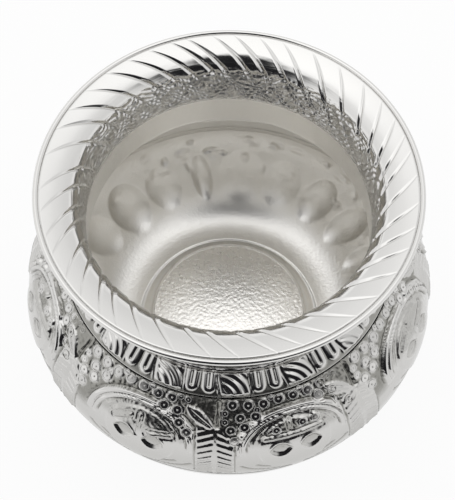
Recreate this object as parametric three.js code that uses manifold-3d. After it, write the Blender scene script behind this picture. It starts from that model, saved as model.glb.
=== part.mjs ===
// A small silver kalash: a squat water pot of thin sheet, raised in two shells, chased and soldered together.
// Millimetres, +Z up, origin at the centre of the ring that the pot stands on.
// Azimuths are measured from the front, -Y, towards +X.
import * as THREE from "three";
import { mergeVertices } from "three/addons/utils/BufferGeometryUtils.js";
import Module from "manifold-3d";

const wasm = await Module();
wasm.setup();
const degrees = THREE.MathUtils.degToRad;

// Overall
const sheet = 0.8;
const jointGap = 0.05;
const overallHeight = 86;

// Mouth: flared lip, rolled wire at its edge, and the spigot that goes down inside the neck
const rimRadius = 48;
const rimWireRadius = 0.8;
const throatRadius = 37.25;
const lipDepth = 8;
const lipFall = 1.2;
const spigotLap = 7.7;
const bendOut = 0.17;
const bendDrop = 2.8;
const bendWidth = 1.66;
const fluteCount = 42;
const fluteDepth = 0.45;
const fluteHalfWidth = 0.95;
const fluteTwist = degrees(22);
const fluteCurl = 1.4;

// Body: an upper and a lower quarter ellipse that meet at the belly
const bellyRadius = 59;
const bellyHeight = 33.3;
const shoulderRise = 33.8;
const bowlDrop = 38;
const neckBend = 0.9;
const seamBelowBelly = 1;
const seamLap = 3;
const seamGap = 0.3;
const lapClearance = 0.34;

// Bottom: stand ring, the ledge behind it, and the floor plate on the ledge
const standRadius = 30;
const standWidth = 1.2;
const kickWidth = 3.5;
const cornerTurn = 0.42;
const cornerPull = 9.3;
const cornerFoot = 12.9;
const floorHeight = 5.8;
const floorLap = 1.6;
const floorBeadWidth = 0.9;
const floorBeadHeight = 0.5;
const solderLeg = 0.9;

// Raised work on the shoulder; a climb is a length along the sheet, upwards from the belly
const rootDepth = 0.4;
const medallionCount = 8;
const medallionStart = degrees(-25.9);
const medallionDrift = degrees(1.2);
const medallionClimb = 9.8;
const medallionHalfWidth = 10.3;
const medallionHalfHeight = 9;
const medallionRise = 0.55;
const medallionCrown = 0.5;
const medallionEdge = 0.92;
const medallionSides = 10;
const archHalfWidth = 16.3;
const archHeight = 12.4;
const archBand = 2.2;
const archRise = 0.8;
const archFoot = 0.25;
const archSteps = 8;
const petalCount = 16;
const petalStart = degrees(1.6);
const petalHalfWidth = 3.9;
const petalLength = 6.7;
const petalRise = 0.7;
const petalHead = 0.75;
const petalCrown = 0.7;
const petalFootPoints = 3;
const tongueHalfWidth = 1.9;
const tongueOffset = degrees(8.3);
const tongueSpacing = degrees(5.9);
const tongueFootPoints = 2;
const friezeMargin = 0.2;

// Lobes pressed out of the bowl
const lobeCount = 22;
const lobeStart = degrees(-5.5);
const lobeRise = 1;
const lobeBottom = 5;
const lobeTop = 17;

// How finely round things are drawn
const segments = 66;
const flareSteps = 4;
const shoulderSteps = 5;
const bowlSteps = 3;
const cornerSteps = 4;

// Heights and radii that follow from the sizes above
const neckTop = overallHeight - lipDepth - solderLeg;
const spigotBottom = neckTop - spigotLap;
const neckInner = throatRadius + sheet + jointGap;
const neckOuter = neckInner + sheet;
const seamHeight = bellyHeight - seamBelowBelly;
const floorRadius = standRadius - standWidth - kickWidth;
const ledgeHeight = floorHeight - sheet - jointGap;
const turnAtNeck = Math.acos((neckOuter + neckBend) / bellyRadius);

const silver = new THREE.MeshStandardMaterial({ color: 0xd9d9d6, roughness: 0.12, metalness: 1 });
const satinSilver = new THREE.MeshStandardMaterial({ color: 0xc9c6bd, roughness: 0.4, metalness: 1 });
const solderSilver = new THREE.MeshStandardMaterial({ color: 0xbfbfba, roughness: 0.35, metalness: 1 });

const kalash = new THREE.Group();

function add(name, geometry, material) {
  const mesh = new THREE.Mesh(geometry, material);
  mesh.name = name;
  kalash.add(mesh);
}

// A closed outline of [radius, height] points, outer side going up, turned round the Z axis.
function turned(outline, columns = segments) {
  const points = [...outline, outline[0]].map(([r, z]) => new THREE.Vector2(r, z));
  return new THREE.LatheGeometry(points, columns).rotateX(Math.PI / 2);
}

// The same line moved sideways by a distance, to the left of its direction of travel.
function beside(line, distance) {
  return line.map(([r, z], i) => {
    const [r0, z0] = line[Math.max(i - 1, 0)];
    const [r1, z1] = line[Math.min(i + 1, line.length - 1)];
    const length = Math.hypot(r1 - r0, z1 - z0);
    return [r - ((z1 - z0) / length) * distance, z + ((r1 - r0) / length) * distance];
  });
}

// A sheet: the outer face runs upwards, the inner face lies one thickness to its left.
function sheetOutline(outerFace) {
  return [...outerFace, ...beside(outerFace, sheet).reverse()];
}

// Hammer work on a turned outline: strike(azimuth, radius, height, row) says where each point goes.
function struck(outline, columns, strike) {
  const geometry = turned(outline, columns);
  const position = geometry.getAttribute("position");
  for (let i = 0; i < position.count; i++) {
    const x = position.getX(i);
    const y = position.getY(i);
    const row = (i % (outline.length + 1)) % outline.length;
    const [azimuth, r, z] = strike(Math.atan2(x, -y), Math.hypot(x, y), position.getZ(i), row);
    position.setXYZ(i, r * Math.sin(azimuth), -r * Math.cos(azimuth), z);
  }
  return geometry;
}

// How far along a line each of its points lies, from 0 at its last point to 1 at its first.
function sharesFromEnd(line) {
  const lengths = [0];
  for (let i = line.length - 1; i > 0; i--) {
    lengths.unshift(lengths[0] + Math.hypot(line[i][0] - line[i - 1][0], line[i][1] - line[i - 1][1]));
  }
  return lengths.map((length) => length / lengths[0]);
}

// Lip and spigot in one sheet. Three columns of points to a flute: the bottom of the cut and its two banks.
// The cuts are in the face that shows. They turn with the length of sheet, less and less towards the throat.
function mouthFlange() {
  const outer = throatRadius + sheet;
  const edge = rimRadius - 2 * rimWireRadius - jointGap;
  const under = overallHeight - rimWireRadius - sheet / 2;
  const flare = new THREE.CubicBezierCurve(
    new THREE.Vector2(outer, overallHeight - lipDepth),
    new THREE.Vector2(outer + bendOut, under - bendDrop),
    new THREE.Vector2(outer + bendWidth, under - lipFall),
    new THREE.Vector2(edge, under),
  );
  const underside = [[outer, spigotBottom], ...flare.getPoints(flareSteps).map((p) => [p.x, p.y])];
  const topSide = beside(underside, sheet);
  const shares = sharesFromEnd(underside);
  const last = underside.length - 1;
  const pitch = (2 * Math.PI) / fluteCount;
  return struck([...underside, ...topSide.reverse()], 3 * fluteCount, (azimuth, r, z, row) => {
    const point = row > last ? 2 * last + 1 - row : row;
    const column = Math.round((azimuth * 3) / pitch);
    const flute = Math.round(column / 3);
    const bank = column - 3 * flute;
    const share = shares[point];
    const twist = fluteTwist * (1 - Math.pow(1 - share, fluteCurl));
    const depth = bank === 0 && row > last ? fluteDepth * Math.sin(Math.PI * share) : 0;
    const [r0, z0] = underside[Math.max(point - 1, 0)];
    const [r1, z1] = underside[Math.min(point + 1, last)];
    const length = Math.hypot(r1 - r0, z1 - z0);
    return [
      flute * pitch + (bank * fluteHalfWidth) / edge - twist,
      r + ((z1 - z0) / length) * depth,
      z - ((r1 - r0) / length) * depth,
    ];
  });
}

// Bead of round wire soldered round the edge of the lip.
function rimWire() {
  const sides = 6;
  const outline = Array.from({ length: sides }, (_, i) => {
    const turn = (i * 2 * Math.PI) / sides;
    return [
      rimRadius - rimWireRadius + rimWireRadius * Math.cos(turn),
      overallHeight - rimWireRadius + rimWireRadius * Math.sin(turn),
    ];
  });
  return turned(outline);
}

// Point [radius, height] of the body's outer face, at a turn up or down from the belly.
function bodyPoint(turn) {
  const reach = turn > 0 ? shoulderRise : bowlDrop;
  return [bellyRadius * Math.cos(turn), bellyHeight + reach * Math.sin(turn)];
}

// Length of sheet to a small change of turn.
function stretch(turn) {
  return Math.hypot(bellyRadius * Math.sin(turn), shoulderRise * Math.cos(turn));
}

// The turn that a climb reaches, and the climb to a turn, both summed in small steps.
function turnAtClimb(climb) {
  const steps = 60;
  let turn = 0;
  for (let i = 0; i < steps; i++) turn += climb / steps / stretch(turn);
  return turn;
}

function climbToTurn(turn) {
  const steps = 60;
  let climb = 0;
  for (let i = 0; i < steps; i++) climb += (turn / steps) * stretch((turn * (i + 0.5)) / steps);
  return climb;
}

// A point of the shoulder: u along it and v up it from a centre, lifted off the sheet.
function onShoulder(azimuth, climb, u, v, lift) {
  const turn = turnAtClimb(climb + v);
  const [r, z] = bodyPoint(turn);
  const outwards = new THREE.Vector2(Math.cos(turn) / bellyRadius, Math.sin(turn) / shoulderRise);
  outwards.setLength(lift);
  const around = azimuth + u / r;
  const radius = r + outwards.x;
  return [radius * Math.sin(around), -radius * Math.cos(around), z + outwards.y];
}

// A closed solid from rings of points, first and last ring closed by a fan to its middle.
function lofted(rings) {
  const count = rings[0].length;
  const middle = (ring) => [0, 1, 2].map((axis) => ring.reduce((sum, p) => sum + p[axis], 0) / count);
  const points = [...rings.flat(), middle(rings[0]), middle(rings[rings.length - 1])];
  const faces = [];
  for (let k = 0; k + 1 < rings.length; k++) {
    for (let i = 0; i < count; i++) {
      const a = k * count + i;
      const b = k * count + ((i + 1) % count);
      faces.push(a, b, b + count, a, b + count, a + count);
    }
  }
  const last = (rings.length - 1) * count;
  for (let i = 0; i < count; i++) {
    const next = (i + 1) % count;
    faces.push(next, i, points.length - 2, last + i, last + next, points.length - 1);
  }
  const geometry = new THREE.BufferGeometry();
  geometry.setAttribute("position", new THREE.Float32BufferAttribute(points.flat(), 3));
  geometry.setIndex(faces);
  return geometry;
}

function toSolid(geometry) {
  geometry.deleteAttribute("normal");
  geometry.deleteAttribute("uv");
  const merged = mergeVertices(geometry, 1e-4);
  return new wasm.Manifold(
    new wasm.Mesh({
      numProp: 3,
      vertProperties: new Float32Array(merged.getAttribute("position").array),
      triVerts: new Uint32Array(merged.getIndex().array),
    }),
  );
}

function toGeometry(solid) {
  const mesh = solid.getMesh();
  const geometry = new THREE.BufferGeometry();
  geometry.setAttribute("position", new THREE.BufferAttribute(mesh.vertProperties, 3));
  geometry.setIndex(new THREE.BufferAttribute(mesh.triVerts, 1));
  geometry.computeVertexNormals();
  return geometry;
}

// Raised work inside a flat outline of [u, v] points: each ring is the outline drawn in by a share and lifted.
function raised(azimuth, climb, outline, rings) {
  return lofted(
    rings.map(([share, lift]) => outline.map(([u, v]) => onShoulder(azimuth, climb, u * share, v * share, lift))),
  );
}

// The round boss of a medallion, nearly flat on top.
function medallion(azimuth) {
  const outline = Array.from({ length: medallionSides }, (_, i) => {
    const turn = (i * 2 * Math.PI) / medallionSides;
    return [medallionHalfWidth * Math.cos(turn), medallionHalfHeight * Math.sin(turn)];
  });
  const rings = [
    [medallionCrown, -rootDepth],
    [1, -rootDepth],
    [medallionEdge, 0.7 * medallionRise],
    [medallionCrown, medallionRise],
  ];
  return raised(azimuth, medallionClimb, outline, rings);
}

// The crescent over a medallion: a round-backed band that narrows to its two feet.
function arch(azimuth) {
  const rings = [];
  for (let i = 0; i <= archSteps; i++) {
    const turn = THREE.MathUtils.lerp(Math.PI, 0, i / archSteps);
    const half = (archBand / 2) * THREE.MathUtils.lerp(archFoot, 1, Math.sin(turn));
    const section = [
      [-half, -rootDepth],
      [half, -rootDepth],
      [0.6 * half, archRise],
      [-0.6 * half, archRise],
    ];
    rings.push(
      section.map(([out, lift]) => {
        const width = archHalfWidth - archBand / 2 + out;
        const height = archHeight - archBand / 2 + out;
        return onShoulder(azimuth, medallionClimb, width * Math.cos(turn), height * Math.sin(turn), lift);
      }),
    );
  }
  return lofted(rings);
}

// A leaf of the frieze, narrower at its head, with a round foot: a shell petal or a slim tongue.
function friezeLeaf(azimuth, halfWidth, footPoints) {
  const half = petalLength / 2;
  const footRadius = Math.min(halfWidth, petalLength / 2);
  const foot = Array.from({ length: footPoints }, (_, i) => {
    const turn = Math.PI + (Math.PI * (i + 0.5)) / footPoints;
    return [halfWidth * Math.cos(turn), footRadius * (1 + Math.sin(turn)) - half];
  });
  const outline = [[-petalHead * halfWidth, half], ...foot, [petalHead * halfWidth, half]];
  const rings = [
    [1, -rootDepth],
    [petalCrown, petalRise],
  ];
  return raised(azimuth, climbToTurn(turnAtNeck) - friezeMargin - half, outline, rings);
}

// Upper shell: neck, shoulder, and below the belly a lap set in by one thickness. Its raised work is one with it.
function shoulderShell() {
  const bowlAtLap = bodyPoint(-Math.asin((seamBelowBelly + seamLap) / bowlDrop))[0];
  const lapOuter = bowlAtLap - sheet - lapClearance;
  const shoulder = [];
  for (let i = 0; i <= shoulderSteps; i++) shoulder.push(bodyPoint((turnAtNeck * i) / shoulderSteps));
  const neckFoot = shoulder[shoulderSteps][1] + 0.8 * neckBend;
  const outer = [...shoulder, [neckOuter, neckFoot], [neckOuter, neckTop]];
  const inner = beside(outer, sheet).reverse();
  inner[inner.length - 1] = [bellyRadius - sheet, bellyHeight + sheet];
  const lap = [
    [lapOuter, seamHeight - seamLap],
    [lapOuter, seamHeight],
    bodyPoint(-Math.asin(seamBelowBelly / bowlDrop)),
  ];
  const lapInner = [
    [lapOuter - sheet, seamHeight + sheet],
    [lapOuter - sheet, seamHeight - seamLap],
  ];
  let shell = toSolid(turned([...lap, ...outer, ...inner, ...lapInner]));
  for (let k = 0; k < medallionCount; k++) {
    const azimuth = medallionStart + (k * 2 * Math.PI) / medallionCount + medallionDrift * (k % 2 ? -1 : 1);
    shell = shell.add(toSolid(arch(azimuth)));
    shell = shell.add(toSolid(medallion(azimuth)));
  }
  for (let k = 0; k < petalCount; k++) {
    const azimuth = petalStart + (k * 2 * Math.PI) / petalCount;
    shell = shell.add(toSolid(friezeLeaf(azimuth, petalHalfWidth, petalFootPoints)));
    for (const place of [tongueOffset, tongueOffset + tongueSpacing]) {
      shell = shell.add(toSolid(friezeLeaf(azimuth + place, tongueHalfWidth, tongueFootPoints)));
    }
  }
  return toGeometry(shell);
}

// Lower shell: from the seam down to the stand ring, then up the kick and in under the floor plate.
function bowlShell() {
  const start = -Math.asin((seamBelowBelly + seamGap) / bowlDrop);
  const down = [];
  for (let i = 0; i <= bowlSteps; i++) down.push(bodyPoint(THREE.MathUtils.lerp(start, -cornerTurn, i / bowlSteps)));
  const [cornerR, cornerZ] = down[bowlSteps];
  const along = new THREE.Vector2(-bellyRadius * Math.sin(cornerTurn), -bowlDrop * Math.cos(cornerTurn));
  along.setLength(cornerPull);
  const corner = new THREE.CubicBezierCurve(
    new THREE.Vector2(cornerR, cornerZ),
    new THREE.Vector2(cornerR + along.x, cornerZ + along.y),
    new THREE.Vector2(standRadius + cornerFoot, 0),
    new THREE.Vector2(standRadius, 0),
  );
  for (const p of corner.getSpacedPoints(cornerSteps).slice(1)) down.push([p.x, p.y]);
  const kick = [
    [standRadius - standWidth, 0],
    [floorRadius + standWidth, ledgeHeight - standWidth - sheet],
    [floorRadius - floorLap, ledgeHeight - sheet],
  ];
  const outer = [...down, ...kick].reverse();
  return struck(sheetOutline(outer), segments, (azimuth, r, z) => {
    const share = THREE.MathUtils.clamp((z - lobeBottom) / (lobeTop - lobeBottom), 0, 1);
    const swell = r > standRadius ? Math.sin(Math.PI * share) : 0;
    const lobe = Math.pow(Math.cos(((azimuth - lobeStart) * lobeCount) / 2), 2);
    return [azimuth, r + lobeRise * swell * lobe, z];
  });
}

// Floor: a round plate let in from above, lying on the bowl's ledge, with a raised bead round its edge.
function floorPlate() {
  const plate = turned([
    [0, floorHeight - sheet],
    [floorRadius, floorHeight - sheet],
    [floorRadius, floorHeight + 0.5 * floorBeadHeight],
    [floorRadius - 0.5 * floorBeadWidth, floorHeight + floorBeadHeight],
    [floorRadius - floorBeadWidth, floorHeight],
    [0, floorHeight],
  ]);
  return toGeometry(toSolid(plate));
}

// Solder run into the corner between the neck's top edge and the flange.
function neckSolder() {
  const wall = throatRadius + sheet + jointGap;
  return turned([
    [wall, neckTop + jointGap],
    [wall + solderLeg, neckTop + jointGap],
    [wall, neckTop + jointGap + solderLeg],
  ]);
}

// Solder inside the pot, on the lower edge of the upper shell's lap.
function seamSolder() {
  const foot = seamHeight - seamLap - jointGap;
  const wall = bodyPoint(-Math.asin((seamBelowBelly + seamLap + solderLeg) / bowlDrop))[0] - sheet - 4 * jointGap;
  return turned([
    [wall, foot - solderLeg],
    [wall, foot],
    [wall - solderLeg, foot],
  ]);
}

add("mouth_flange", mouthFlange(), silver);
add("rim_wire", rimWire(), silver);
add("neck_solder", neckSolder(), solderSilver);
add("shoulder_shell", shoulderShell(), silver);
add("seam_solder", seamSolder(), solderSilver);
add("bowl_shell", bowlShell(), satinSilver);
add("floor_plate", floorPlate(), satinSilver);

export default kalash;
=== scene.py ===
from math import cos, pi, radians, sin

import bpy
import numpy as np
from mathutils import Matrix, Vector


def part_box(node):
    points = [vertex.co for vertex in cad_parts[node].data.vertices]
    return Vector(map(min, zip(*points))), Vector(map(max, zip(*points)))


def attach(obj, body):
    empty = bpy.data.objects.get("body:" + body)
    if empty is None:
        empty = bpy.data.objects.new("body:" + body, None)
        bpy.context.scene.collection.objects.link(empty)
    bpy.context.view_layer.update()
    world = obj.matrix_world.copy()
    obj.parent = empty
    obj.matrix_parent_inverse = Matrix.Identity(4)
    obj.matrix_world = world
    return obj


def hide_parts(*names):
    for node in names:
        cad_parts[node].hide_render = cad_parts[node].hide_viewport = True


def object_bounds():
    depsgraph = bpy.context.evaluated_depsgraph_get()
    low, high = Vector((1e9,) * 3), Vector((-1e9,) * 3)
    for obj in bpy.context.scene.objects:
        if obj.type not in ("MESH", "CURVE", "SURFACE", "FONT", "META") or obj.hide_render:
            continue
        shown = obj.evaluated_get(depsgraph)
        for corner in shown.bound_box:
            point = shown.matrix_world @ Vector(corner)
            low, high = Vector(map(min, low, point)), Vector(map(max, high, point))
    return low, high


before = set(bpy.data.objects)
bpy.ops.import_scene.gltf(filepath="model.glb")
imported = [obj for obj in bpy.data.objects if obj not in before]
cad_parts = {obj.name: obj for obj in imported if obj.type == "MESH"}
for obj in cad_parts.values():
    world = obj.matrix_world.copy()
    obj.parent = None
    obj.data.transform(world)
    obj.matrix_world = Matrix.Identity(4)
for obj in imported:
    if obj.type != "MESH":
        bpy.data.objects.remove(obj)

cadLow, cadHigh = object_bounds()      # the box of the solid model, before anything is added
mm = 0.001
chance = np.random.default_rng(7)
print("kalash: frame loaded")

# The pot's main sizes in millimetres, read off the solid model where its boxes give them
rimLow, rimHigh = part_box("rim_wire")
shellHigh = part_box("shoulder_shell")[1]
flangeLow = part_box("mouth_flange")[0]
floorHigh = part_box("floor_plate")[1]
solidBead = 0.5      # the bead that stands up from the floor in the solid
pot = {
    "sheet": 0.8,
    "height": rimHigh.z / mm,
    "rimRadius": rimHigh.x / mm,
    "rimWire": (rimHigh.z - rimLow.z) / mm / 2,
    "throatRadius": 37.25,
    "throatBottom": flangeLow.z / mm,
    "lipDepth": 8,
    "neckOuter": 38.9,
    "neckTop": shellHigh.z / mm,
    "bellyRadius": 59,
    "bellyHeight": 33.3,
    "shoulderRise": 33.8,
    "bowlDrop": 38,
    "seamHeight": 32.3,
    "standRadius": 30,
    "floorRadius": floorHigh.x / mm,
    "floorTop": floorHigh.z / mm - solidBead,
}


# sRGB hex to linear colour
def hexColour(code):
    parts = [int(code[i:i + 2], 16) / 255 for i in (1, 3, 5)]
    return [p / 12.92 if p <= 0.04045 else ((p + 0.055) / 1.055) ** 2.4 for p in parts] + [1]


# Adds a node with its settings and links, where a number stands for an input's place and a word for its name
def addNode(tree, kind, settings=None, links=None):
    node = tree.nodes.new("ShaderNode" + kind)
    for name, value in (settings or {}).items():
        if isinstance(name, int) or name in node.inputs:
            node.inputs[name].default_value = value
        else:
            setattr(node, name, value)
    for name, output in (links or {}).items():
        tree.links.new(output, node.inputs[name])
    return node


# The noise scale, in whole marks to the metre, that gives marks of a size in mm
def marksOf(size):
    return round(1 / (size * mm))


def newMetal(name):
    material = bpy.data.materials.new(name)
    material.use_nodes = True
    tree = material.node_tree
    shader = tree.nodes["Principled BSDF"]
    shader.inputs["Metallic"].default_value = 1
    return material, tree, shader, addNode(tree, "TexCoord").outputs["Object"]


# Fine silver, burnished by hand: a mirror with faint waves, duller and darker where it is punched or sunk,
# and darker towards the belly as painted shade
def burnishedSilver():
    material, tree, shader, place = newMetal("burnishedSilver")
    struck = addNode(tree, "Attribute", {"attribute_name": "struck"}).outputs["Fac"]
    # the darker second colour is the tone of punched and sunk work, and painted shade where the attribute
    # carries the belly's darkening
    tint = addNode(tree, "Mix", {"data_type": "RGBA", 6: hexColour("#cecdcb"), 7: hexColour("#969590")},
                   {0: struck})
    spread = addNode(tree, "MapRange", {"To Min": 0.12, "To Max": 0.3}, {"Value": struck})
    waves = addNode(tree, "TexNoise", {"Scale": marksOf(3.85), "Detail": 2}, {"Vector": place})
    bump = addNode(tree, "Bump", {"Strength": 0.12, "Distance": 0.2 * mm}, {"Height": waves.outputs["Fac"]})
    tree.links.new(tint.outputs[2], shader.inputs["Base Color"])
    tree.links.new(spread.outputs["Result"], shader.inputs["Roughness"])
    tree.links.new(bump.outputs["Normal"], shader.inputs["Normal"])
    return material


# Fine silver drawn in over a stake: burnished on the lip, and left wrinkled like a fingertip down the throat.
# The wrinkles are the contour lines of a noise, and come about 2 mm apart.
def drawnSilver():
    material, tree, shader, place = newMetal("drawnSilver")
    shader.inputs["Base Color"].default_value = hexColour("#dad9d7")
    drawn = addNode(tree, "Attribute", {"attribute_name": "drawn"}).outputs["Fac"]
    field = addNode(tree, "TexNoise", {"Scale": marksOf(5.88), "Detail": 1}, {"Vector": place})
    folds = addNode(tree, "Math", {"operation": "MULTIPLY", 1: 34}, {0: field.outputs["Fac"]})
    lines = addNode(tree, "Math", {"operation": "SINE"}, {0: folds.outputs["Value"]})
    wrinkles = addNode(tree, "Math", {"operation": "MULTIPLY"}, {0: lines.outputs["Value"], 1: drawn})
    waves = addNode(tree, "TexNoise", {"Scale": marksOf(3.85), "Detail": 2}, {"Vector": place})
    soft = addNode(tree, "Bump", {"Strength": 0.12, "Distance": 0.2 * mm}, {"Height": waves.outputs["Fac"]})
    bump = addNode(tree, "Bump", {"Strength": 1, "Distance": 0.06 * mm},
                   {"Height": wrinkles.outputs["Value"], "Normal": soft.outputs["Normal"]})
    spread = addNode(tree, "MapRange", {"To Min": 0.12, "To Max": 0.3}, {"Value": drawn})
    tree.links.new(spread.outputs["Result"], shader.inputs["Roughness"])
    tree.links.new(bump.outputs["Normal"], shader.inputs["Normal"])
    return material


# Pickled silver: the warm satin left by the acid bath inside the pot, where no burnisher reaches.
# Its grain is some hundredths of a millimetre wide, and is drawn 0.77 mm wide so that it shows.
def pickledSilver():
    material, tree, shader, place = newMetal("pickledSatinSilver")
    bloom = addNode(tree, "TexNoise", {"Scale": marksOf(22.2), "Detail": 3}, {"Vector": place})
    tint = addNode(tree, "Mix", {"data_type": "RGBA", 6: hexColour("#fbf9f5"), 7: hexColour("#fdfcf9")},
                   {0: bloom.outputs["Fac"]})
    grain = addNode(tree, "TexNoise", {"Scale": marksOf(0.769), "Detail": 2}, {"Vector": place})
    spread = addNode(tree, "MapRange", {"To Min": 0.28, "To Max": 0.4}, {"Value": grain.outputs["Fac"]})
    blows = addNode(tree, "TexNoise", {"Scale": marksOf(1.25), "Detail": 1}, {"Vector": place})
    dimples = addNode(tree, "Bump", {"Strength": 0.16, "Distance": 0.2 * mm},
                      {"Height": blows.outputs["Fac"]})
    bump = addNode(tree, "Bump", {"Strength": 0.25, "Distance": 0.2 * mm},
                   {"Height": grain.outputs["Fac"], "Normal": dimples.outputs["Normal"]})
    tree.links.new(tint.outputs[2], shader.inputs["Base Color"])
    tree.links.new(spread.outputs["Result"], shader.inputs["Roughness"])
    tree.links.new(bump.outputs["Normal"], shader.inputs["Normal"])
    return material


# Planished silver: the satin sheet of the floor, hammered all over, so that facets of 1.1 mm catch the light.
# Its grain is drawn as coarse as the satin's, for the same reason.
def planishedSilver():
    material, tree, shader, place = newMetal("planishedSilver")
    shader.inputs["Base Color"].default_value = hexColour("#f6f4f0")
    blows = addNode(tree, "TexNoise", {"Scale": marksOf(1.111), "Detail": 1.5}, {"Vector": place})
    grain = addNode(tree, "TexNoise", {"Scale": marksOf(0.6667), "Detail": 2}, {"Vector": place})
    spread = addNode(tree, "MapRange", {"To Min": 0.2, "To Max": 0.32}, {"Value": grain.outputs["Fac"]})
    bump = addNode(tree, "Bump", {"Strength": 0.5, "Distance": 0.2 * mm}, {"Height": blows.outputs["Fac"]})
    tree.links.new(spread.outputs["Result"], shader.inputs["Roughness"])
    tree.links.new(bump.outputs["Normal"], shader.inputs["Normal"])
    return material


# Silver solder, run in hot and pickled: frosted, and nearly white
def frostedSolder():
    material, tree, shader, place = newMetal("frostedSilverSolder")
    shader.inputs["Base Color"].default_value = hexColour("#fbf8f2")
    flow = addNode(tree, "TexNoise", {"Scale": marksOf(2.5), "Detail": 2}, {"Vector": place})
    spread = addNode(tree, "MapRange", {"To Min": 0.5, "To Max": 0.7}, {"Value": flow.outputs["Fac"]})
    bump = addNode(tree, "Bump", {"Strength": 0.4, "Distance": 0.3 * mm}, {"Height": flow.outputs["Fac"]})
    tree.links.new(spread.outputs["Result"], shader.inputs["Roughness"])
    tree.links.new(bump.outputs["Normal"], shader.inputs["Normal"])
    return material


burnished = burnishedSilver()
drawn = drawnSilver()
satin = pickledSilver()
planished = planishedSilver()
solder = frostedSolder()
print("kalash: materials")


# A closed outline of (radius, height) points in mm, outer side going up, turned round the pot's axis.
# Column by column, the vertices keep the outline's order, with the first column at the front.
def turnedPiece(name, outline, columns):
    bpy.ops.object.select_all(action="DESELECT")
    bpy.ops.mesh.primitive_circle_add(vertices=len(outline), radius=0.01)
    piece = bpy.context.active_object
    piece.name = name
    for vertex, (r, z) in zip(piece.data.vertices, outline):
        vertex.co = (0, -r * mm, z * mm)
    turn = piece.modifiers.new("turn", "SCREW")
    turn.steps = columns
    turn.render_steps = columns
    turn.use_merge_vertices = True
    turn.merge_threshold = 1e-7
    bpy.ops.object.modifier_apply(modifier="turn")
    return piece


# Each point's azimuth in degrees, from the front towards +X, as an array of columns by outline points
def azimuths(piece, pointCount):
    flat = np.empty(len(piece.data.vertices) * 3)
    piece.data.vertices.foreach_get("co", flat)
    points = flat.reshape(-1, pointCount, 3)
    return np.degrees(np.arctan2(points[:, :, 0], -points[:, :, 1]))


# Puts every point at its azimuth, radius and height, in degrees and mm, and turns the faces outwards
def place(piece, azimuth, radius, height):
    around = np.radians(azimuth)
    level = np.broadcast_to(height, around.shape)
    points = np.stack([radius * np.sin(around), -radius * np.cos(around), level], axis=2) * mm
    piece.data.vertices.foreach_set("co", points.ravel())
    bpy.ops.object.select_all(action="DESELECT")
    piece.select_set(True)
    bpy.context.view_layer.objects.active = piece
    bpy.ops.object.mode_set(mode="EDIT")
    bpy.ops.mesh.select_all(action="SELECT")
    bpy.ops.mesh.normals_make_consistent(inside=False)
    bpy.ops.object.mode_set(mode="OBJECT")
    bpy.ops.object.shade_smooth()


# Merges the points that meet on the pot's axis
def closePoles(piece):
    bpy.ops.object.mode_set(mode="EDIT")
    bpy.ops.mesh.select_all(action="SELECT")
    bpy.ops.mesh.remove_doubles(threshold=1e-6)
    bpy.ops.mesh.delete_loose(use_verts=True, use_edges=True, use_faces=False)
    bpy.ops.mesh.select_all(action="SELECT")
    bpy.ops.mesh.normals_make_consistent(inside=False)
    bpy.ops.object.mode_set(mode="OBJECT")


# The outline's own directions: outwards from its line, as two rows of numbers
def outwards(outline):
    line = np.array(outline)
    along = np.roll(line, -1, axis=0) - np.roll(line, 1, axis=0)
    along /= np.linalg.norm(along, axis=1)[:, None]
    return along[:, 1], -along[:, 0]


# Puts the outline's points in place, each lifted off its line by a height in mm
def emboss(piece, outline, azimuth, lift):
    radius, height = np.array(outline).T
    outR, outZ = outwards(outline)
    place(piece, azimuth, radius + lift * outR, height + lift * outZ)


# Values for the points of the outer face, with zeros for the points behind it
def outerOnly(azimuth, values):
    everywhere = np.zeros(azimuth.shape)
    everywhere[:, :values.shape[1]] = values
    return everywhere


def pointValues(piece, name, values):
    attribute = piece.data.attributes.new(name, "FLOAT", "POINT")
    attribute.data.foreach_set("value", np.ascontiguousarray(values, dtype=np.float32).ravel())


# Gives the second material to the faces behind the outline's outer points
def secondMaterial(piece, pointCount, outerCount):
    for face in piece.data.polygons:
        face.material_index = int(min(index % pointCount for index in face.vertices) >= outerCount)


def finish(piece, node, slot, *materials):
    for material in materials:
        piece.data.materials.append(material)
    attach(piece, "root")
    if node:
        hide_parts(node)


# Shapes of a single mark, from the distance to its line: round-backed, and soft like a rubbed edge
def rounded(distance, half):
    return np.sqrt(np.clip(1 - (distance / half) ** 2, 0, 1))


def softened(distance, half):
    return 0.5 + 0.5 * np.cos(pi * np.clip(np.abs(distance) / half, 0, 1))


def rise(value, low, high):
    share = np.clip((value - low) / (high - low), 0, 1)
    return share * share * (3 - 2 * share)


# Nothing up to start, whole from full to fade, and nothing again from end
def stretch(value, start, full, fade, end):
    return rise(value, start, full) * (1 - rise(value, fade, end))


# Degrees from the nearest middle, where one comes every pitch
def awayFrom(azimuth, middle, pitch=360):
    return (azimuth - middle + pitch / 2) % pitch - pitch / 2


# Distance to the straight stroke from a to b, and how far along it
def stroke(u, v, a, b):
    du, dv = b[0] - a[0], b[1] - a[1]
    along = np.clip(((u - a[0]) * du + (v - a[1]) * dv) / (du * du + dv * dv), 0, 1)
    return np.hypot(u - a[0] - along * du, v - a[1] - along * dv), along


# Even random bumps, about three points across, as a blunt punch leaves them
def pebbles(shape):
    noise = chance.standard_normal(shape)
    noise = noise + np.roll(noise, 1, axis=0) + np.roll(noise, -1, axis=0)
    noise = noise + np.roll(noise, 1, axis=1)
    return noise / noise.std()


# The body's outer face. A climb is a length in mm up the sheet from the belly.
turns = np.linspace(0, 1.2, 1200)
stretches = np.hypot(pot["bellyRadius"] * np.sin(turns), pot["shoulderRise"] * np.cos(turns))
climbs = np.concatenate([[0], np.cumsum((stretches[1:] + stretches[:-1]) / 2 * np.diff(turns))])


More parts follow.
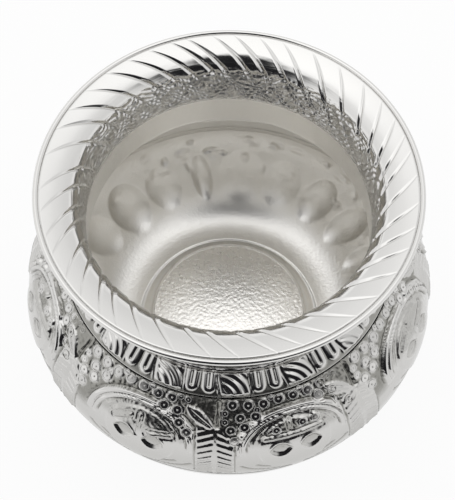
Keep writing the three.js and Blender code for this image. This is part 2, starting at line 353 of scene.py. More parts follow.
def shoulderPoint(climb):
    turn = np.interp(climb, climbs, turns)
    return pot["bellyRadius"] * cos(turn), pot["bellyHeight"] + pot["shoulderRise"] * sin(turn)


# Below the belly the outer face is a quarter ellipse, and a turn is its angle in radians
def bowlPoint(turn):
    return pot["bellyRadius"] * cos(turn), pot["bellyHeight"] + pot["bowlDrop"] * sin(turn)


def bowlRadius(height):
    return bowlPoint(-np.arcsin((pot["bellyHeight"] - height) / pot["bowlDrop"]))[0]


# The same line at a distance in mm to its side
def beside(line, distance):
    line = np.array(line)
    along = np.gradient(line, axis=0)
    along /= np.linalg.norm(along, axis=1)[:, None]
    return [(r - dz * distance, z + dr * distance) for (r, z), (dr, dz) in zip(line, along)]


def bezier(a, b, c, d, count):
    share = np.linspace(0, 1, count)[:, None]
    a, b, c, d = (np.array(p) for p in (a, b, c, d))
    return list(map(tuple, (1 - share) ** 3 * a + 3 * (1 - share) ** 2 * share * b
                    + 3 * (1 - share) * share ** 2 * c + share ** 3 * d))


# A line's points at given lengths along it, measured from its last point
def stations(line, lengths):
    line = np.array(line)[::-1]
    along = np.concatenate([[0], np.cumsum(np.hypot(*np.diff(line, axis=0).T))])
    lengths = np.array(lengths) * along[-1] / max(lengths)
    return list(zip(np.interp(lengths, along, line[:, 0]), np.interp(lengths, along, line[:, 1])))


# Where the cuts start at the lip's edge, in degrees, listed one by one, so no two gaps are the same
cutStarts = [-174.3, -165.5, -160, -152, -144, -135.5, -126, -117, -109, -99, -86.5, -78.5, -69.5, -63, -54,
             -46.5, -38.5, -32.5, -24, -15, -4.5, 3, 13.5, 21, 29.5, 38.5, 47.5, 57, 66, 73.5, 82, 92, 101,
             107, 114, 122, 131, 141.5, 151.5, 162, 170, 178.5]


# Mouth: the flared lip with its twisted cuts, and the spigot below it, crinkled where it was drawn in.
# s, and the dictionary's stretches, are lengths in mm along the sheet from the lip's edge.
def flutedLip():
    lip = {"length": 22.9, "flat": (0, 7.8, 18), "bend": (8.05, 12, 17), "wall": (12.22, 22.9, 48),
           "beneath": [22.9, 19, 15, 13, 11.5, 10, 8.5, 6, 3, 0], "columnsPerCut": 24, "crowding": 0.5,
           "twist": 22, "curl": 1.4, "fall": 1.2, "bendOut": 0.3, "bendDrop": 3, "bendWidth": 2,
           "cutDepth": 0.5, "cutWidth": 0.62, "cutTip": 0.14, "cutEnd": 19.5, "unevenness": 0.3,
           "ripple": 0.03, "ripplePitch": 0.68, "rippled": (4.6, 8, 9.5, 12), "crinkle": 0.08,
           "crinkleBehind": 0.18, "crinklePitch": 1.6, "crinkled": (9.6, 12.5, 21.6, 22.8),
           "wrinkled": (9, 13, 22, 22.9)}
    sheet, edge = pot["sheet"], pot["rimRadius"] - 2 * pot["rimWire"]
    outer, corner = pot["throatRadius"] + sheet, pot["height"] - pot["lipDepth"]
    level = pot["height"] - pot["rimWire"] - sheet / 2
    under = [(outer, pot["throatBottom"]), (outer, corner - 0.1)]
    under = under + bezier((outer, corner), (outer + lip["bendOut"], level - lip["bendDrop"]),
                           (outer + lip["bendWidth"], level - lip["fall"]), (edge, level), 200)
    face = np.concatenate([np.linspace(*lip[part]) for part in ("flat", "bend", "wall")])
    top = stations(beside(under, sheet), face)
    below = stations(under, lip["beneath"][::-1])[::-1]
    outline = below + top
    cuts, pitches = len(cutStarts), np.diff(cutStarts + [cutStarts[0] + 360])
    piece = turnedPiece("fluted_lip", outline, cuts * lip["columnsPerCut"])
    azimuth = azimuths(piece, len(outline))
    radius = np.array(outline).T[0]
    onTop = np.arange(len(outline)) >= len(below)
    s = np.concatenate([lip["beneath"], face])
    left = 1 - s / lip["length"]
    turned = 1 - left ** lip["curl"]
    slant = radius * np.radians(lip["twist"]) * lip["curl"] * left ** (lip["curl"] - 1) / lip["length"]
    # columns stand closest at the cuts
    position = (azimuth % 360) / 360 * cuts
    cut = np.clip(position + 1e-6, 0, cuts - 1e-3).astype(int)
    part = position - cut
    part = part - lip["crowding"] * np.sin(2 * pi * part) / (2 * pi)
    azimuth = np.array(cutStarts)[cut] + part * pitches[cut]
    fromCut = np.where(part < 0.5, part, part - 1) * pitches[cut]
    nearCut = np.where(part < 0.5, cut, (cut + 1) % cuts)
    across = np.radians(fromCut) * radius / np.hypot(1, slant)
    # V-shaped cuts, deepest half way, each struck a little harder or softer
    hand = 1 - lip["unevenness"] / 2 + lip["unevenness"] * chance.random(cuts)[nearCut]
    swell = np.sin(pi * np.clip((s - 0.2) / (lip["cutEnd"] - 0.2), 0, 1)) ** 0.8
    width = lip["cutTip"] + lip["cutWidth"] * swell * hand
    relief = -lip["cutDepth"] * swell * hand * np.clip(1 - np.abs(across) / width, 0, 1) ** 1.15
    twisted = azimuth - lip["twist"] * turned
    around = np.radians(twisted)
    # fine ripples before the bend, uneven from panel to panel, and crinkles below it, deepest at the back
    panel = 0.6 + 0.4 * np.sin(cut * 2.4)
    lines = np.sin(2 * pi * s / lip["ripplePitch"] + 1.3 * np.sin(23 * around + 0.9 * s) + cut)
    relief = relief + lip["ripple"] * lines * panel * stretch(s, *lip["rippled"])
    whorl = 2.8 * np.sin(11 * around + 0.3 * s) + 2.3 * np.sin(23 * around - 0.5 * s + 1.1)
    whorl = whorl + 1.3 * np.sin(41 * around + 0.7 * s)
    crinkle = np.sin(2 * pi * s / lip["crinklePitch"] + whorl)
    crinkle = crinkle + 0.5 * np.sin(150 * around + 1.6 * s + 1.4 * whorl)
    deep = lip["crinkle"] + lip["crinkleBehind"] * (0.5 - 0.5 * np.cos(around)) ** 2
    relief = relief + deep * crinkle * stretch(s, *lip["crinkled"])
    emboss(piece, outline, twisted, np.where(onTop, relief, 0))
    wrinkled = stretch(s, *lip["wrinkled"]) * onTop
    pointValues(piece, "drawn", np.broadcast_to(wrinkled, azimuth.shape))
    finish(piece, "mouth_flange", "polished_silver", drawn)


# Thin round bead of drawn wire along the lip's edge, rubbed bright
def rimBead():
    bead = {"sides": 14, "columns": 360}
    ring = [2 * pi * i / bead["sides"] for i in range(bead["sides"])]
    radius = pot["rimWire"]
    middleR, middleZ = pot["rimRadius"] - radius, pot["height"] - radius
    outline = [(middleR + radius * cos(t), middleZ + radius * sin(t)) for t in ring]
    piece = turnedPiece("rim_bead", outline, bead["columns"])
    place(piece, azimuths(piece, len(outline)), *np.array(outline).T)
    finish(piece, "rim_wire", "polished_silver", drawn)


# Chased work of the shoulder in mm and degrees. Widths and heights are half sizes, and the centre, the line,
# the pillar's top and the second number of leaf and slit are climbs.
chasing = {
    "medallions": 8, "firstMedallion": -25.9, "drift": 1.2, "centre": 9.8,
    "bossWidth": 10.3, "bossHeight": 9.3, "bossRise": 0.55, "bossDome": 0.25,
    "ridges": ((11.5, 9.95), (12.7, 10.35)), "grooves": ((11.9, 12.5), (13.3, 14), (15, 16)),
    "crescentWidth": 14.95, "crescentHeight": 11.6, "crescentHalf": 1.5, "crescentRise": 0.95,
    "almondAway": 4.1, "almondLevel": 0.5, "almondWidth": 3.3, "almondHeight": 2.4, "almondDepth": 0.5,
    "barRise": 0.42, "budRise": 0.4, "reachWidth": 17.2, "reachHeight": 13.6,
    "gapFromMedallion": 20.9, "leaf": ((-7.4, 23.2), (-0.4, 18)), "leafRise": 0.55,
    "slit": ((0.3, 25.2), (0.3, 18)), "slitDepth": 0.55, "pillarHalf": 4.5, "pillarTop": 17.6,
    "pillarRise": 0.22, "chevronPitch": 2.05, "chevronSlope": 0.42,
    "lineClimb": 26.4, "lineDepth": 0.22, "lineHalf": 0.9,
}


# Ring punches of one field, as degrees from its middle and the climb
ringMarks = [(4.9, 24.6), (9.7, 24.3), (14.4, 24.2), (19.2, 24.7), (24, 24.6), (28.8, 24.3), (33.4, 24.5),
             (7.1, 21), (4.3, 17.6), (8.2, 18.4), (11.6, 21.2), (35.8, 21.6), (31.6, 21.9),
             (36.9, 18.3), (39.4, 15.9), (5.3, 14.4)]
smallMarks = [(2.6, 22.4), (2.6, 20), (12.2, 22.9), (17, 25.5), (26.4, 25.6), (36.1, 25.4), (38.5, 25)]
bossMarks = [(-4.8, 16.5), (2.9, 16.9), (6.7, 16.7)]      # in every other medallion, from its own middle


# The ring punches between medallion k and the next, each with its size, its degrees from the field's middle,
# its climb, and the height in mm of its bed
def fieldMarks(k):
    marks = [(1, away, climb, 0) for away, climb in ringMarks]
    marks = marks + [(0.62, away, climb, 0) for away, climb in smallMarks]
    if k % 2:
        bed = chasing["bossRise"] + 0.1
        marks = marks + [(0.8, away - chasing["gapFromMedallion"], climb, bed) for away, climb in bossMarks]
    return marks


def medallionAzimuth(k):
    step = 360 / chasing["medallions"]
    return chasing["firstMedallion"] + k * step + chasing["drift"] * (-1 if k % 2 else 1)


# One medallion: u along the sheet and v up it, in mm from its middle. Gives the height and what is punched.
def medallionRelief(u, v, style):
    c = chasing
    boss = np.hypot(u / c["bossWidth"], v / c["bossHeight"])
    inside = 1 - rise(boss, 0.93, 1.0)
    height = inside * (c["bossRise"] + c["bossDome"] * (1 - np.clip(boss, 0, 1) ** 2))
    height = height - 0.42 * softened((boss - 1.03) * 9.5, 0.55)
    # two fine ridges between the boss and the arch, and three grooves lower down beside the boss
    for width, tall in c["ridges"]:
        line = (np.hypot(u / width, v / tall) - 1) * 10.5
        height = height + 0.3 * softened(line, 0.42) * rise(v, -1, 2)
    low = stretch(-v, -3.5, -1, 5, 7) * (np.abs(u) > 6)
    for width, tall in c["grooves"]:
        line = (np.hypot(u / width, v / tall) - 1) * 12
        height = height - 0.22 * softened(line, 0.5) * low
    # the arch over it, a broad outer ridge and a fine inner one with a groove between
    ellipse = np.hypot(u / c["crescentWidth"], v / c["crescentHeight"])
    angle = np.arctan2(v / c["crescentHeight"], u / c["crescentWidth"])
    half = c["crescentHalf"] * (0.75 + 0.35 * np.abs(np.cos(angle)))
    fromMiddle = (ellipse - 1) * np.hypot(u, v) / np.maximum(ellipse, 0.01)
    outerRidge = rounded(fromMiddle - 0.45 * half, 0.55 * half)
    innerRidge = 0.75 * rounded(fromMiddle + 0.62 * half, 0.38 * half)
    crescent = np.maximum(outerRidge, innerRidge) * rise(v, -0.9, 0.7)
    height = np.maximum(height, c["crescentRise"] * crescent)
    height = height - 0.4 * softened(np.abs(fromMiddle) - half - 0.35, 0.5) * rise(v, 0, 1.5)
    # stippled outside the arch, plain between the arch and the boss, and worked again on the boss's crown
    plain = (1 - rise(boss, 1.35, 1.8)) * (1 - rise(v, 1.5, 4))
    punched = (1 - np.clip(crescent * 3, 0, 1)) * (1 - plain) * np.where(ellipse > 1, 1, 0.4)
    punched = np.where((boss < 0.92) & (v > 5.4), 0.85 if style else 0.5, punched)
    # almond hollows with a raised rim
    for side in (-1, 1):
        field = 1 - ((u - side * c["almondAway"]) / c["almondWidth"]) ** 2
        field = field - np.abs(v - c["almondLevel"]) / c["almondHeight"]
        height = height - c["almondDepth"] * rise(field, 0, 0.55)
        height = height + 0.22 * softened(field, 0.28) * (boss < 0.98)
        punched = np.where(field > 0.1, 0.55, punched)
    # bars over them, each with its two ends, its half width and where the grooves beside it lie, and a bud
    if style:
        bars = [((-8, 4.7), (7.5, 4.7), 0.62, 0.95)]
        bud = (-0.8, 9), (-0.8, 6.4)
    else:
        bars = [((-7.3, 3.6), (-3, 6.1), 0.6, 0.9), ((2.2, 2.9), (8.5, 4.1), 0.6, 0.9)]
        bud = (-0.4, 7.4), (-0.4, 1.8)
    for a, b, thick, groove in bars:
        bar = stroke(u, v, a, b)[0]
        height = height + c["barRise"] * rounded(bar, thick) - 0.25 * softened(bar - groove, 0.4)
    vein, along = stroke(u, v, *bud)
    height = height + c["budRise"] * rounded(vein, 0.55 * (1.3 - along)) - 0.25 * softened(vein - 0.8, 0.35)
    # two sunk lines round the boss's foot
    plate = (np.hypot(u / 12.5, (v + 2.6) / 5.6) - 1) * 5.6
    for offset in (0, 1.7):
        height = height - 0.25 * softened(plate - offset, 0.4) * (v < -5.4) * (np.abs(u) > 1.5)
    return height, punched


# The field between two medallions, u in mm from its middle and s the climb: leaf, slit and chevrons
def gapRelief(u, s):
    c = chasing
    spine, along = stroke(u, s, *c["leaf"])
    leaf = rounded(spine, 0.25 + 1.65 * np.sin(pi * along ** 0.8))
    height = c["leafRise"] * leaf - 0.4 * softened(spine, 0.4) * (along > 0.02)
    punched = np.where(leaf > 0.1, 0.2, 1)
    # the slit widens downwards, with a ridge up its right side
    slit, along = stroke(u, s, *c["slit"])
    height = height - c["slitDepth"] * softened(slit, 0.45 + 0.5 * along ** 2)
    height = height + 0.3 * softened(slit - 1.05, 0.45) * (s > 19) * (u > 0)
    # a pillar of chevrons, deeper towards its foot, with a sunk line on either side
    half, top = c["pillarHalf"], c["pillarTop"]
    pillar = (1 - rise(np.abs(u), half, half + 0.7)) * stretch(s, 0.3, 0.8, top, top + 1)
    rows = np.cos(2 * pi * (s + c["chevronSlope"] * np.abs(u) - 0.9) / c["chevronPitch"])
    chevron = (0.1 + 0.12 * (1 - rise(s, 3, 13))) * rows * rise(np.abs(u), 0.35, 0.8)
    height = height * (1 - pillar) + pillar * (c["pillarRise"] + chevron)
    height = height - 0.25 * softened(np.abs(u) - half - 0.9, 0.4) * (s < 16) * (s > 1)
    return height, np.where(pillar > 0.2, 0.15, punched)


# All the work of the shoulder by azimuth and climb: its height off the sheet, and what is punched
def shoulderRelief(azimuth, s):
    height, punched = np.zeros(azimuth.shape), np.ones(azimuth.shape)
    nearest = np.full(azimuth.shape, 999.0)
    radius = np.array([shoulderPoint(max(climb, 0))[0] for climb in s])
    for k in range(chasing["medallions"]):
        u, v = np.radians(awayFrom(azimuth, medallionAzimuth(k))) * radius, s - chasing["centre"]
        form, marks = medallionRelief(u, v, k % 2)
        mine = np.hypot(u / chasing["reachWidth"], v / chasing["reachHeight"])
        height = np.where(mine < nearest, form, height)
        punched = np.where(mine < nearest, marks, punched)
        nearest = np.minimum(nearest, mine)
    for k in range(chasing["medallions"]):
        away = awayFrom(azimuth, medallionAzimuth(k) + chasing["gapFromMedallion"])
        u = np.radians(away) * radius
        form, marks = gapRelief(u, s)
        blend = (1 - rise(np.abs(u), 7.6, 8.4)) * rise(nearest, 0.97, 1.05)
        blend = np.maximum(blend, 1 - rise(np.abs(u), 5.3, 5.8)) * (np.abs(away) < 12)
        height = height * (1 - blend) + form * blend
        punched = punched * (1 - blend) + marks * blend
        # a flat bed with a sunk line round it under every ring punch
        for size, degrees, climb, bed in fieldMarks(k):
            off = np.radians(awayFrom(away, degrees)) * radius
            reach = np.hypot(off, s - climb) / size
            clear = rise(reach, 1.3, 2)
            height = height * clear + bed * (1 - clear) - 0.15 * size * softened(reach - 1.8, 0.45)
            punched = punched * rise(reach, 1.6, 2.1)
    return height, punched


# Upper body between the seam and the line under the frieze
def chasedShoulder():
    # the belly's darkening in this table is painted shade: strongest at the belly and gone 12 mm above it
    shell = {"columns": 1200, "step": 0.36, "innerEvery": 20, "stipple": 0.08, "stippled": (6, 12),
             "bellyShade": 0.35, "bellyShadeClimbs": (0, 12), "sunk": 0.22}
    top = chasing["lineClimb"]
    s = np.append(np.arange(0, top, shell["step"]), top)
    outer = [(bowlRadius(pot["seamHeight"]), pot["seamHeight"])] + [shoulderPoint(value) for value in s]
    inner = beside([outer[0]] + outer[1::shell["innerEvery"]] + [outer[-1]], pot["sheet"])[::-1]
    outline = outer + inner
    piece = turnedPiece("chased_shoulder", outline, shell["columns"])
    azimuth = azimuths(piece, len(outline))
    climb = np.concatenate([[-1], s])
    relief, punched = shoulderRelief(azimuth[:, :len(outer)], climb)
    relief = relief - chasing["lineDepth"] * softened(climb - top, chasing["lineHalf"])
    relief = relief * rise(climb, -1, 0.6)      # plain along the seam
    punched = punched * rise(climb, *shell["stippled"])      # and rubbed smooth over the belly
    relief = relief + shell["stipple"] * pebbles(punched.shape) * punched * (climb < top - 0.5) * (climb > 0)
    emboss(piece, outline, azimuth, outerOnly(azimuth, relief))
    # dull and darker where it is punched and where it is sunk, and a little towards the belly, where the
    # darker colour is painted shade
    dull = np.maximum(punched, shell["bellyShade"] * (1 - rise(climb, *shell["bellyShadeClimbs"])))
    dull = np.maximum(dull, np.clip(-relief / shell["sunk"], 0, 1))
    pointValues(piece, "struck", outerOnly(azimuth, dull))
    finish(piece, "shoulder_shell", "polished_silver", burnished, satin)
    secondMaterial(piece, len(outline), len(outer))
    return climb, relief, azimuth[:, 0]


# Frieze in mm and degrees, where foot and top are climbs
frieze = {
    "petals": 16, "firstPetal": 1.6, "foot": 26.9, "top": 33.1, "petalHalf": 3.9, "petalRise": 0.75,
    "petalLean": 1.1, "fingerPitch": 1.9, "fingerDepth": 0.24, "edgeAway": 4.25, "edgeRise": 0.35,
    "tongues": (8.3, 14.2), "tongueHalf": 1.95, "tongueRise": 0.6,
}


# Frieze of shell petals and tongues, by degrees from a petal's middle and the climb
def friezeRelief(away, s, radius):
    foot, top, pitch = frieze["foot"], frieze["top"], 360 / frieze["petals"]
    u = np.radians(away) * radius
    share = (s - foot) / (top - foot)
    lean = u + frieze["petalLean"] * (share - 0.5)
    shut = 1 - rise(s, top - 0.3, top + 0.3)
    edge = foot + 0.03 * lean ** 2
    body = rounded(lean, frieze["petalHalf"]) * rise(s, edge - 0.1, edge + 0.7) * shut
    fan = np.hypot(u + 4.6, (s - foot + 0.6) * 1.15)
    fingers = frieze["fingerDepth"] * (0.5 + 0.5 * np.cos(2 * pi * fan / frieze["fingerPitch"]))
    height = frieze["petalRise"] * body - fingers * (body > 0.15) * rise(lean, -3.2, -2.4)
    for side in (-1, 1):
        edge = lean - side * frieze["edgeAway"]
        height = height + frieze["edgeRise"] * softened(edge, 0.5) * rise(share, 0, 0.2)
    for middle in frieze["tongues"]:
        tongue = np.radians(awayFrom(away, middle, pitch)) * radius
        drop = s - foot - 0.9
        outline = np.where(drop < 1.6, np.hypot(tongue, drop - 1.6), np.abs(tongue))
        height = np.maximum(height, frieze["tongueRise"] * rounded(outline, frieze["tongueHalf"]) * shut)
        height = height - 0.45 * softened(outline, 0.75) * (drop > 1.2) * (1 - rise(s, top - 0.6, top))
    return height - 0.3 * softened(s - top - 0.2, 0.45)


# Frieze and neck, from the line under the frieze to the neck's top edge
def chasedCollar():
    collar = {"columns": 1152, "step": 0.26, "top": 33.4, "neckStart": 2.7}
    low, foot, high = chasing["lineClimb"], frieze["foot"], frieze["top"]
    neck = pot["neckOuter"]
    s = np.append(np.arange(low, collar["top"], collar["step"]), collar["top"])
    body = [shoulderPoint(value) for value in s]
    end = np.array(body[-1])
    lean = end - np.array(body[-2])
    lean /= np.linalg.norm(lean)
    bend = bezier(end, end + 0.6 * lean, (neck, end[1] + 0.5), (neck, end[1] + 1.2), 6)[1:]
    rings = [(neck, z) for z in np.linspace(end[1] + collar["neckStart"], pot["neckTop"], 8)]
    outer = body + bend + rings
    outline = outer + beside(outer, pot["sheet"])[::-1]
    piece = turnedPiece("chased_collar", outline, collar["columns"])
    azimuth = azimuths(piece, len(outline))
    away = awayFrom(azimuth[:, :len(s)], frieze["firstPetal"], 360 / frieze["petals"])
    relief = friezeRelief(away, s, np.array(body)[:, 0])
    relief = relief - chasing["lineDepth"] * softened(s - low, chasing["lineHalf"])
    emboss(piece, outline, azimuth, outerOnly(azimuth, relief))
    # dull in the ground between the petals
    dull = np.clip((0.35 - relief) / 0.4, 0, 1) * stretch(s, low, foot, high - 0.2, high + 0.2)
    pointValues(piece, "struck", outerOnly(azimuth, dull))
    finish(piece, "shoulder_shell", "polished_silver", burnished, satin)
    secondMaterial(piece, len(outline), len(outer))


# Ring punches, each a ring with a dot in it, standing a little sunk in its bed
def ringPunches(climb, relief, columns):
    punch = {"radius": 1.22, "tube": 0.2, "dot": 0.34, "sink": 0.06}
    bpy.ops.object.select_all(action="DESELECT")
    bpy.ops.mesh.primitive_torus_add(major_segments=14, minor_segments=4, major_radius=punch["radius"] * mm,
                                     minor_radius=punch["tube"] * mm)
    ring = bpy.context.active_object
    bpy.ops.mesh.primitive_uv_sphere_add(segments=6, ring_count=4, radius=punch["dot"] * mm)
    ring.select_set(True)
    bpy.context.view_layer.objects.active = ring
    bpy.ops.object.join()
    ring.data.polygons.foreach_set("use_smooth", [True] * len(ring.data.polygons))
    base = np.empty(len(ring.data.vertices) * 3)
    ring.data.vertices.foreach_get("co", base)
    base = base.reshape(-1, 3) / mm
    order = np.argsort(columns)
    copies = []
    for k in range(chasing["medallions"]):
        field = medallionAzimuth(k) + chasing["gapFromMedallion"]
        for size, away, s, _ in fieldMarks(k):
            column = order[np.searchsorted(columns[order], awayFrom(field + away, 0)) % len(order)]
            row = int(np.argmin(np.abs(climb - s)))
            ground = relief[column, row] - punch["sink"]
            radius, height = shoulderPoint(s)
            turn = np.interp(s, climbs, turns)
            outR, outZ = cos(turn) / pot["bellyRadius"], sin(turn) / pot["shoulderRise"]
            length = np.hypot(outR, outZ)
            outR, outZ = outR / length, outZ / length
            around = radians(field + away)
            side = np.array([cos(around), sin(around), 0])
            out = np.array([outR * sin(around), -outR * cos(around), outZ])
            up = np.cross(out, side)
            spot = np.array([radius * sin(around), -radius * cos(around), height]) + out * ground
            copy = ring.copy()
            copy.data = ring.data.copy()
            bpy.context.scene.collection.objects.link(copy)
            points = spot + size * (base[:, :1] * side + base[:, 1:2] * up + base[:, 2:] * out)
            copy.data.vertices.foreach_set("co", (points * mm).ravel())
            copies.append(copy)
    bpy.ops.object.select_all(action="DESELECT")
    ring.select_set(True)
    bpy.ops.object.delete()
    for copy in copies:
        copy.select_set(True)
    bpy.context.view_layer.objects.active = copies[0]
    bpy.ops.object.join()
    piece = bpy.context.active_object
    piece.name = "ring_punches"
    finish(piece, None, "polished_silver", burnished)


# Inside the belly the upper shell steps in and goes down behind the lower one, with the corner rubbed round.
# Solder, pickled to the same satin, fills the angle between its lower edge and the bowl's wall.
def bellyLap():
    lap = {"depth": 3, "clearance": 0.34, "bend": 2.7, "overlap": 0.03, "columns": 360}
    sheet, seam = pot["sheet"], pot["seamHeight"]
    foot, shell = seam - lap["depth"], pot["bellyRadius"] - sheet
    outer = bowlRadius(foot) - sheet - lap["clearance"]
    inner = outer - sheet
    bend = bezier((shell + 0.1, seam + lap["bend"]), (shell - 0.25, seam + 1.6), (inner, seam + 1.5),
                  (inner, seam + 0.1), 14)
    hidden = [(outer, foot), (outer, seam), (shell + 0.2, seam + 0.9),
              (shell + 0.25, seam + lap["bend"] - 0.1)]
    wall = [(inner, z) for z in (seam - 1, seam - 2, foot + 0.15)] + [(inner + 0.15, foot)]
    outline = hidden + bend + wall
    piece = turnedPiece("belly_lap", outline, lap["columns"])
    place(piece, azimuths(piece, len(outline)), *np.array(outline).T)
    finish(piece, "shoulder_shell", "satin_silver", satin)

    top, middle, low = [(bowlRadius(z) - sheet - lap["overlap"], z) for z in (foot, foot - 1.3, foot - 2.6)]
    start = bowlRadius(foot - 1.4) - sheet - lap["overlap"] - 0.5
    face = bezier((inner + 0.02, foot + 0.1), (inner + 0.1, foot - 0.9), (start, foot - 1.4), low, 8)
    outline = [low, middle, (top[0], foot - 0.06), (inner + 0.1, foot - 0.03)] + face[:-1]
    fillet = turnedPiece("seam_fillet", outline, lap["columns"])
    place(fillet, azimuths(fillet, len(outline)), *np.array(outline).T)
    finish(fillet, "seam_solder", "solder", satin)


# The pressed lobes, one by one: half width, half height and lean, then how deep the blow went
lobeShapes = [(8.2, 7.4, 0, 0.7), (3.4, 6.6, 0.1, 1.1), (6, 6.4, 0.15, 1), (7, 7.6, 0.1, 1.35),
              (6.2, 6.4, 0.2, 0.8), (6.6, 6.8, 0, 1), (6, 6.4, -0.1, 0.9), (4.6, 7.6, -0.35, 1.2),
              (5.2, 7.4, -0.3, 1.2), (5.8, 7, -0.2, 1.3), (6.8, 6.6, -0.1, 0.8)]


# Lower shell with its ring of pressed lobes, the stand ring and the ledge under the floor
def lobedBowl():
    bowl = {"columns": 620, "below": 1.3, "corner": -0.42, "lobes": 22, "phase": -5.5, "centre": 12.4,
            "dents": 150, "leastDent": (-180, 14, 1.2, 0.9, -0.35), "mostDent": (180, 24.5, 3.6, 2, 0.55)}
    start, corner = -np.arcsin(bowl["below"] / pot["bowlDrop"]), bowl["corner"]
    wall = [bowlPoint(turn) for turn in np.linspace(start, corner, 40)]
    last = np.array(wall[-1])
    along = np.array([pot["bellyRadius"] * sin(corner), -pot["bowlDrop"] * cos(corner)])
    along /= np.linalg.norm(along)
    stand, ring = pot["standRadius"], pot["floorRadius"]
    foot = bezier(last, last + along * 0.52 * last[1], (stand + 0.54 * (last[0] - stand), 0),
                  (stand, 0), 34)[1:]
    ledge = pot["floorTop"] - pot["sheet"] - 0.05
    # the stand ring's inner side, and the ledge that carries the floor
    kick = [(stand - 0.9, 0), (stand - 1.35, 0.2), (ring + 1.6, ledge - 2.4), (ring + 1.1, ledge - 1.4),
            (ring + 0.2, ledge - 0.85), (ring - 1.6, ledge - 0.8)]
    outer = (wall + foot + kick)[::-1]
    outline = outer + beside(outer, pot["sheet"])[::-1]
    piece = turnedPiece("lobed_bowl", outline, bowl["columns"])
    azimuth = azimuths(piece, len(outline))
    radius, height = np.array(outline).T
    swell = np.zeros(azimuth.shape)
    for k in range(bowl["lobes"]):
        wide, tall, lean, deep = lobeShapes[k % len(lobeShapes)]
        away = awayFrom(azimuth, bowl["phase"] + k * 360 / bowl["lobes"])
        climb = height - bowl["centre"]
        reach = np.hypot((np.radians(away) * radius - lean * climb) / wide, climb / tall)
        swell = np.maximum(swell, deep * np.clip(1 - reach ** 2, 0, 1) ** 0.85)
    # loose blows above the lobes, some from each side: azimuth, height, half width, half height and depth
    for k in range(bowl["dents"]):
        around, level, wide, tall, deep = chance.uniform(bowl["leastDent"], bowl["mostDent"])
        away = awayFrom(azimuth, around)
        reach = np.hypot(np.radians(away) * radius / wide, (height - level) / tall)
        swell = swell + deep * softened(reach, 1.15) * (np.abs(away) < 20)
    swell = swell * (radius > stand + 3)
    # the inner face runs the other way in the outline, so its outwards is the outer one's inwards
    onInner = np.arange(len(outline)) >= len(outer)
    emboss(piece, outline, azimuth, swell * np.where(onInner, -1, 1))
    finish(piece, "bowl_shell", "satin_silver", burnished, satin)
    secondMaterial(piece, len(outline), len(outer))


# Round floor with a planished face, and a frosted bead at its edge
def hammeredFloor():
    plate = {"columns": 400, "bead": 1.0, "beadHeight": 0.45, "beadGap": 0.15, "hub": 0.25}
    ring, top, half = pot["floorRadius"], pot["floorTop"], plate["bead"] / 2
    turn = [pi * i / 6 for i in range(7)]
    bead = [(ring - half + half * cos(t), top + plate["beadHeight"] * sin(t)) for t in turn]
    face = [(r, top) for r in np.linspace(ring - plate["bead"] - plate["beadGap"], plate["hub"], 24)]
    under = top - pot["sheet"]
    outline = [(plate["hub"], under), (ring, under)] + bead + face
    piece = turnedPiece("hammered_floor", outline, plate["columns"])
    azimuth = azimuths(piece, len(outline))
    radius, height = np.array(outline).T
    radius[[0, -1]] = 0
    place(piece, azimuth, radius, height)
    closePoles(piece)
    finish(piece, "floor_plate", "satin_silver", planished, solder)
    for face in piece.data.polygons:
        face.material_index = int(face.center.xy.length > (ring - plate["bead"]) * mm)


print("kalash: mouth")
flutedLip()
rimBead()
print("kalash: chased body")
climb, relief, columns = chasedShoulder()
chasedCollar()
ringPunches(climb, relief, columns)
print("kalash: bowl and floor")
bellyLap()
lobedBowl()
hammeredFloor()

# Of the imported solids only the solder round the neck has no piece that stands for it
for name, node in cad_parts.items():
    node.data.materials.clear()
    node.data.materials.append(solder if "solder" in name else satin)


# White table that keeps a soft shadow, and shows itself white to the camera and in the metal
def paleStage():
    stage = {"size": 6, "colour": "#f4f4f4", "glow": 0.92}
    bpy.ops.object.select_all(action="DESELECT")
    bpy.ops.mesh.primitive_plane_add(size=stage["size"], location=(0, 0, cadLow.z))
    table = bpy.context.active_object
    table.name = "table"
    material = bpy.data.materials.new("whiteCard")
    material.use_nodes = True
    tree = material.node_tree
    shader = tree.nodes["Principled BSDF"]
    shader.inputs["Base Color"].default_value = hexColour(stage["colour"])
    shader.inputs["Roughness"].default_value = 0.9
    shader.inputs["Specular IOR Level"].default_value = 0
    rays = addNode(tree, "LightPath").outputs
    seen = rays["Is Camera Ray"]
    for kind in ("Is Glossy Ray", "Is Transmission Ray"):
        seen = addNode(tree, "Math", {"operation": "ADD"}, {0: seen, 1: rays[kind]}).outputs["Value"]
    share = addNode(tree, "MapRange", {"To Max": stage["glow"]}, {"Value": seen})
    white = addNode(tree, "Emission", {"Strength": 1})
    blend = addNode(tree, "MixShader", {}, {"Fac": share.outputs["Result"], 1: shader.outputs["BSDF"],
                                            2: white.outputs["Emission"]})
    tree.links.new(blend.outputs["Shader"], tree.nodes["Material Output"].inputs["Surface"])
    table.data.materials.append(material)


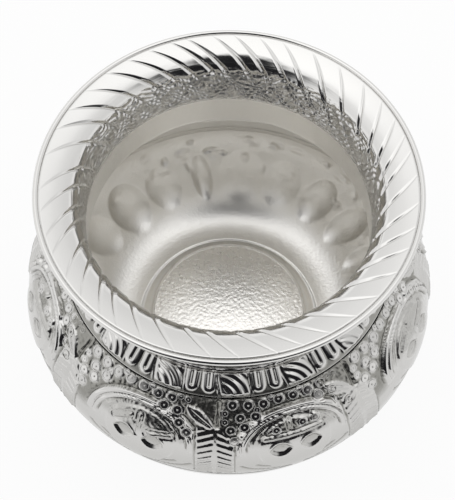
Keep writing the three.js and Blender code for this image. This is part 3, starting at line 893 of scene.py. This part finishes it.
# White room, brightest overhead, with a dark card in front above and a dark strip below it
def studio():
    room = {"heights": ((0.0, 0.84), (0.1, 0.8), (0.3, 0.66), (0.55, 0.68), (0.75, 0.74), (0.85, 0.86),
                        (0.93, 0.98), (0.98, 1.0)),
            "left": 1.48, "right": 1.34, "dark": "#1c1c1e", "elevation": 56, "azimuth": -5, "card": (24, 13),
            "stripSides": (0.8, 0.5), "stripFront": (0, -0.35), "stripTop": (0.82, 0.62)}
    world = bpy.data.worlds.new("studio")
    world.use_nodes = True
    bpy.context.scene.world = world
    tree = world.node_tree
    up, side = radians(room["elevation"]), radians(room["azimuth"])
    towards = (sin(side) * cos(up), -cos(side) * cos(up), sin(up))
    direction = addNode(tree, "TexCoord").outputs["Generated"]
    axis = addNode(tree, "SeparateXYZ", {}, {"Vector": direction}).outputs
    facing = addNode(tree, "VectorMath", {"operation": "DOT_PRODUCT", 1: towards},
                     {0: direction}).outputs["Value"]
    sideways = addNode(tree, "Math", {"operation": "ABSOLUTE"}, {0: axis["X"]}).outputs["Value"]
    # each dark edge is soft, between where it starts and where it is full
    edges = []
    for value, (start, full) in ((facing, [cos(radians(angle)) for angle in room["card"]]),
                                 (sideways, room["stripSides"]), (axis["Y"], room["stripFront"]),
                                 (axis["Z"], room["stripTop"])):
        soft = {"interpolation_type": "SMOOTHSTEP", "From Min": start, "From Max": full}
        edges.append(addNode(tree, "MapRange", soft, {"Value": value}).outputs["Result"])
    card, sides, front, dark = edges
    for operation, edge in (("MULTIPLY", front), ("MULTIPLY", sides), ("MAXIMUM", card)):
        dark = addNode(tree, "Math", {"operation": operation}, {0: edge, 1: dark}).outputs["Value"]
    sky = addNode(tree, "ValToRGB", {}, {"Fac": axis["Z"]})
    for index, (position, grey) in enumerate(room["heights"]):
        stop = sky.color_ramp.elements.new(position) if index > 1 else sky.color_ramp.elements[index]
        stop.position = position
        stop.color = (grey, grey, grey, 1)
    shade = addNode(tree, "Mix", {"data_type": "RGBA", 7: hexColour(room["dark"])},
                    {0: dark, 6: sky.outputs["Color"]})
    strength = addNode(tree, "MapRange",
                       {"From Min": -0.5, "From Max": 0.5, "To Min": room["left"], "To Max": room["right"]},
                       {"Value": axis["X"]})
    background = tree.nodes["Background"]
    tree.links.new(shade.outputs[2], background.inputs["Color"])
    tree.links.new(strength.outputs["Result"], background.inputs["Strength"])
    bpy.context.scene.view_settings.view_transform = "Standard"
    bpy.context.scene.cycles.glossy_bounces = 12      # light goes from wall to wall many times inside the pot


# The view of the photograph, fitted to the rim, belly and floor outlines, with its distance and target in m
def photoCamera():
    view = {"elevation": 62.15, "distance": 0.240, "target": (-0.000384, 0, 0.0487), "lens": 61.1}
    camera = bpy.data.objects.new("camera", bpy.data.cameras.new("camera"))
    camera.data.lens = view["lens"]
    camera.data.sensor_width = 36
    camera.data.clip_start = 0.01
    up = radians(view["elevation"])
    target = Vector(view["target"])
    camera.location = target + view["distance"] * Vector((0, -cos(up), sin(up)))
    camera.rotation_euler = (pi / 2 - up, 0, 0)
    bpy.context.scene.collection.objects.link(camera)
    bpy.context.scene.camera = camera


print("kalash: stage, lights, camera")
paleStage()
studio()
photoCamera()

bpy.context.view_layer.update()
